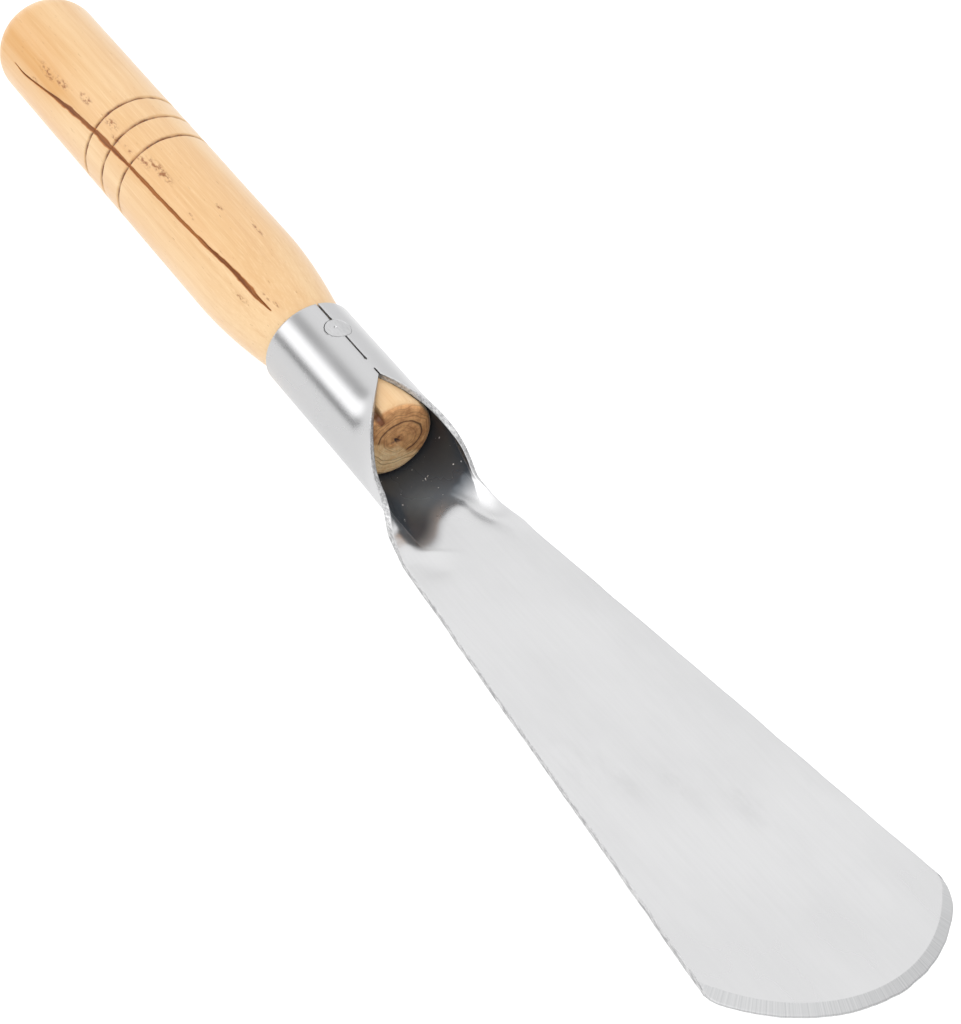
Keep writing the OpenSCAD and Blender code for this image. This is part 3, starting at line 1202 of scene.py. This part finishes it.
def steel_material():
    m = material("satin_steel")
    t = m.node_tree
    smudges = stretched(t, (28, 45, 45), 4)
    streaks = stretched(t, (40, 1600, 1600), 3)
    scratches = stretched(t, (110, 5200, 5200), 2, turned=(0, 0, SCRATCH_TURN))
    torn = stretched(t, (420, 2600, 2600), 4, 0.7)
    grind = line_noise(t, masked(t, "bevel_turn"), 3.2, 4.0, 0.7)
    ground, inside, raw = masked(t, "ground"), masked(t, "inside"), masked(t, "raw_edge")

    colour = sheet_colour(t, smudges, streaks, inside)
    ground_colour = blend(t, spread(t, grind, 0.3, 0.7), GROUND_DARK, GROUND_LIGHT)
    colour = blend(t, ground, colour, ground_colour)
    torn_colour = blend(t, spread(t, torn, 0.38, 0.62), TORN_DARK, TORN_LIGHT)
    colour = blend(t, times(t, raw, 0.85), colour, torn_colour)

    rough = spread(t, smudges, 0.3, 0.7, 0.26, 0.33)
    rough = math_node(t, "ADD", rough, times(t, ground, 0.1))
    rough = math_node(t, "ADD", rough, times(t, raw, 0.12))
    # The trough's painted shade is also made less metallic, so that it stays dark
    metal = math_node(t, "SUBTRACT", 1.0, times(t, inside, 0.72))
    normal = bumped(t, streaks, 0.06, 0.00003)
    normal = bumped(t, scratches, 0.10, 0.00002, normal)
    normal = bumped(t, times(t, grind, ground), 0.3, 0.00008, normal)
    normal = bumped(t, times(t, torn, raw), 0.35, 0.00006, normal)
    inputs = {"Base Color": colour, "Metallic": metal, "Roughness": rough, "Normal": normal}
    finish_surface(t, add(t, "BsdfPrincipled", inputs))
    return m


def pin_material():
    m = material("ground_pin_steel")
    t = m.node_tree
    marks = stretched(t, (900, 5000, 900), 3, turned=(0, 0, PIN_SCRATCH_TURN))
    colour = blend(t, spread(t, marks, 0.3, 0.7), PIN_DARK, PIN_LIGHT)
    normal = bumped(t, marks, 0.12, 0.00003)
    inputs = {"Base Color": colour, "Metallic": 1.0, "Roughness": 0.3, "Normal": normal}
    finish_surface(t, add(t, "BsdfPrincipled", inputs))
    return m


# ---- Wood

WOOD_PALE = (0.74, 0.515, 0.285, 1)
WOOD_DEEP = (0.68, 0.42, 0.20, 1)
WOOD_GRAIN = (0.58, 0.32, 0.14, 1)
WOOD_FIBRE = (0.83, 0.62, 0.37, 1)
WOOD_TAN = (0.62, 0.325, 0.105, 1)
WOOD_PORE = (0.25, 0.075, 0.012, 1)
# Charred grooves; the same colours paint the gap shadow at the socket's rim
CHAR_AND_SHADOW_BROWN = (0.26, 0.075, 0.006, 1)
CHAR_AND_SHADOW_BLACK = (0.09, 0.022, 0.002, 1)
CRACK_SIDE = (0.44, 0.145, 0.022, 1)
# The crack's brown sides are the wood's colour; its darker middle is painted shade in its depth
CRACK_SHADE = (0.17, 0.045, 0.004, 1)
SAPWOOD = ((1.0, 0.74, 0.42, 1), (0.86, 0.53, 0.25, 1))
HEARTWOOD = ((0.78, 0.42, 0.18, 1), (0.48, 0.22, 0.085, 1))
RING_BROWN = (0.26, 0.115, 0.045, 1)
RING_BLACK = (0.10, 0.045, 0.02, 1)
PITH_BLACK = (0.05, 0.025, 0.02, 1)
CHIP_BROWN = (0.17, 0.05, 0.018, 1)
DARK_RING_AT = 4.0


def side_colour(t, grain, ticks):
    """The turned surface: grain, fibres, the tan patches and the dark pores."""
    broad = stretched(t, (9, 90, 90), 3)
    fibre = stretched(t, (120, 4200, 4200), 3, 0.6)
    specks = stretched(t, (700, 1500, 1500), 4, 0.65)
    colour = blend(t, spread(t, broad, 0.32, 0.68), WOOD_PALE, WOOD_DEEP)
    colour = blend(t, spread(t, grain, 0.42, 0.75, 0, 0.38), colour, WOOD_GRAIN)
    colour = blend(t, spread(t, fibre, 0.45, 0.75, 0, 0.4), colour, WOOD_FIBRE)
    tanned = times(t, masked(t, "tan"), spread(t, grain, 0.2, 0.7, 0.6, 1.0))
    colour = blend(t, tanned, colour, WOOD_TAN)
    stray = spread(t, ticks, 0.69, 0.76, 0, 0.4)
    dense = times(t, spread(t, specks, 0.44, 0.62), masked(t, "pores"))
    return blend(t, math_node(t, "MAXIMUM", stray, times(t, dense, 0.9)), colour, WOOD_PORE), fibre


def burnt_and_shaded_colour(t, colour, grain, ticks, crack):
    """Adds the charred grooves, the painted gap shadow at the socket's rim, and the brown drying crack with
    painted shade in its middle.
    """
    char_and_shadow = blend(t, spread(t, ticks, 0.4, 0.6), CHAR_AND_SHADOW_BROWN, CHAR_AND_SHADOW_BLACK)
    # Charred grooves and the painted gap shadow at the socket's rim
    colour = blend(t, spread(t, masked(t, "burn_and_rim_shadow"), 0.12, 0.75, 0, 0.95), colour, char_and_shadow)
    colour = blend(t, spread(t, crack, 0.0, 0.35, 0, 0.9), colour, CRACK_SIDE)
    # Painted shade in the crack's depth, over the wood's brown sides
    crack_shade = times(t, spread(t, crack, 0.35, 0.75), spread(t, grain, 0.3, 0.55, 0.45, 1.0))
    return blend(t, crack_shade, colour, CRACK_SHADE)


def end_grain_colour(t, end_noise):
    """Pale sapwood and darker heartwood with growth rings, one of them nearly black."""
    heart, ring_place = masked(t, "heart"), masked(t, "ring")
    blotches = spread(t, end_noise, 0.3, 0.7)
    sapwood, heartwood = blend(t, blotches, *SAPWOOD), blend(t, blotches, *HEARTWOOD)
    colour = blend(t, heart, sapwood, heartwood)
    rings = line_noise(t, ring_place, 2.6, 3.0)
    colour = blend(t, spread(t, rings, 0.5, 0.7, 0, 0.5), colour, RING_BROWN)
    ring_off = math_node(t, "ABSOLUTE", math_node(t, "SUBTRACT", ring_place, DARK_RING_AT))
    ring_dark = times(t, spread(t, ring_off, 0.05, 0.3, 0.9, 0.0), spread(t, heart, 0.3, 1.0))
    return blend(t, ring_dark, colour, RING_BLACK)


def wood_material():
    m = material("lacquered_wood")
    t = m.node_tree
    grain = stretched(t, (26, 900, 900), 4, 0.6)
    ticks = stretched(t, (420, 3600, 3600), 2, 0.5)
    end_noise = stretched(t, (500, 700, 700), 4, 0.65)
    crack, ends = masked(t, "crack"), masked(t, "end_grain")

    colour, fibre = side_colour(t, grain, ticks)
    colour = burnt_and_shaded_colour(t, colour, grain, ticks, crack)
    colour = blend(t, ends, colour, end_grain_colour(t, end_noise))
    colour = blend(t, times(t, ends, crack), colour, PITH_BLACK)
    colour = blend(t, times(t, masked(t, "chip"), 0.9), colour, CHIP_BROWN)

    rough = spread(t, math_node(t, "MAXIMUM", ends, crack), 0, 1, 0.42, 0.75)
    normal = bumped(t, grain, 0.15, 0.0001)
    normal = bumped(t, fibre, 0.12, 0.00005, normal)
    normal = bumped(t, times(t, end_noise, ends), 0.5, 0.0002, normal)
    inputs = {"Base Color": colour, "Roughness": rough, "Normal": normal, "IOR": 1.42, "Coat Weight": 0.15,
              "Coat Roughness": 0.22, "Coat IOR": 1.6, "Sheen Weight": 0.27, "Sheen Roughness": 0.3}
    finish_surface(t, add(t, "BsdfPrincipled", inputs))
    return m


# ---- Pieces

def stand_for(piece, node, surface):
    piece.data.materials.clear()
    piece.data.materials.append(surface)
    shade_smooth(piece.data)
    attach(piece, "root")
    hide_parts(node)


def make_sheet():
    sheet = new_object("blade_sheet_metal", sheet_mesh())
    bore_pin_hole(sheet)
    mark_sheet(sheet.data)
    stand_for(sheet, "blade_sheet", steel_material())


def make_handle():
    stand_for(new_object("handle_wood", handle_mesh()), "handle", wood_material())


def make_pin():
    pin = lathe("handle_pin_flush", pin_outline(), flush_point)
    stand_for(pin, "handle_pin", pin_material())


# ---- Studio

FLOOR_HALF = 1.5
FLOOR_COLOURS = ((0.26, 0.26, 0.26, 1), (0.28, 0.28, 0.28, 1))
WHITE = (1, 1, 1, 1)
CAMERA_AT = Vector((0.28435, -0.22869, 0.29349))
CAMERA_LOOKS_AT = Vector((0.02732, 0.00580, 0.01000))
CAMERA_ROLL = math.radians(13.735)
LENS = 84.35
SENSOR = 36

# The tent's brightness, and softer or brighter patches in it: direction, the angles in degrees
# at which the patch is full and at which it has faded out, and the change in brightness.
TENT = 1.3
TENT_BANDS = (((-0.647, -0.757, 0.01), 5, 17, -1.25),
              ((-0.647, -0.31, 0.695), 3, 15, -0.85),
              ((-0.647, -0.635, 0.412), 7, 17, 1.1),
              ((-0.70, 0.68, 0.22), 5, 30, -0.2),
              ((0.55, -0.30, 0.78), 8, 25, 0.5),
              ((0.72, -0.68, 0.12), 12, 40, -0.6),
              ((0.08, -0.75, 0.65), 11, 29, 0.95),
              ((-0.05, -0.96, 0.26), 4, 15, -0.9),
              ((0.60, 0.75, 0.15), 15, 55, -0.65),
              ((0.95, -0.05, 0.05), 8, 36, -0.5),
              ((-0.35, -0.20, 0.92), 5, 22, -0.12))


def floor_material():
    m = material("pale_floor")
    t = m.node_tree
    colour = blend(t, stretched(t, (6, 6, 6), 2), *FLOOR_COLOURS)
    inputs = {"Base Color": colour, "Roughness": 0.9, "Emission Color": WHITE, "Emission Strength": 0.9}
    finish_surface(t, add(t, "BsdfPrincipled", inputs))
    return m


def make_floor():
    mesh = bpy.data.meshes.new("floor")
    signs = ((-1, -1), (1, -1), (1, 1), (-1, 1))
    mesh.from_pydata([(FLOOR_HALF * i, FLOOR_HALF * j, 0) for i, j in signs], [], [(0, 1, 2, 3)])
    floor = new_object("floor", mesh)
    floor.data.materials.append(floor_material())


def make_camera():
    data = bpy.data.cameras.new("camera")
    data.lens = LENS
    data.sensor_width = SENSOR
    camera = new_object("camera", data)
    camera.location = CAMERA_AT
    look = (CAMERA_LOOKS_AT - CAMERA_AT).to_track_quat("-Z", "Y")
    camera.rotation_mode = "QUATERNION"
    camera.rotation_quaternion = look @ Quaternion((0, 0, 1), CAMERA_ROLL)
    bpy.context.scene.camera = camera


def make_world():
    """A white tent with softer and brighter patches, so that the steel shows soft stripes."""
    world = bpy.data.worlds.new("white_tent")
    bpy.context.scene.world = world
    world.use_nodes = True
    t = world.node_tree
    t.nodes.clear()
    way = add(t, "TexCoord").outputs["Generated"]
    strength = TENT
    for direction, inner, outer, amount in TENT_BANDS:
        towards = {0: way, 1: Vector(direction).normalized()}
        dot = add(t, "VectorMath", towards, operation="DOT_PRODUCT").outputs["Value"]
        faded, full = math.cos(math.radians(outer)), math.cos(math.radians(inner))
        strength = math_node(t, "ADD", strength, spread(t, dot, faded, full, 0.0, amount))
    back = add(t, "Background", {"Color": WHITE, "Strength": strength})
    out = add(t, "OutputWorld")
    t.links.new(back.outputs[0], out.inputs["Surface"])


make_camera()
make_world()
make_floor()
make_sheet()
make_handle()
make_pin()
bpy.context.scene.view_settings.view_transform = "Standard"
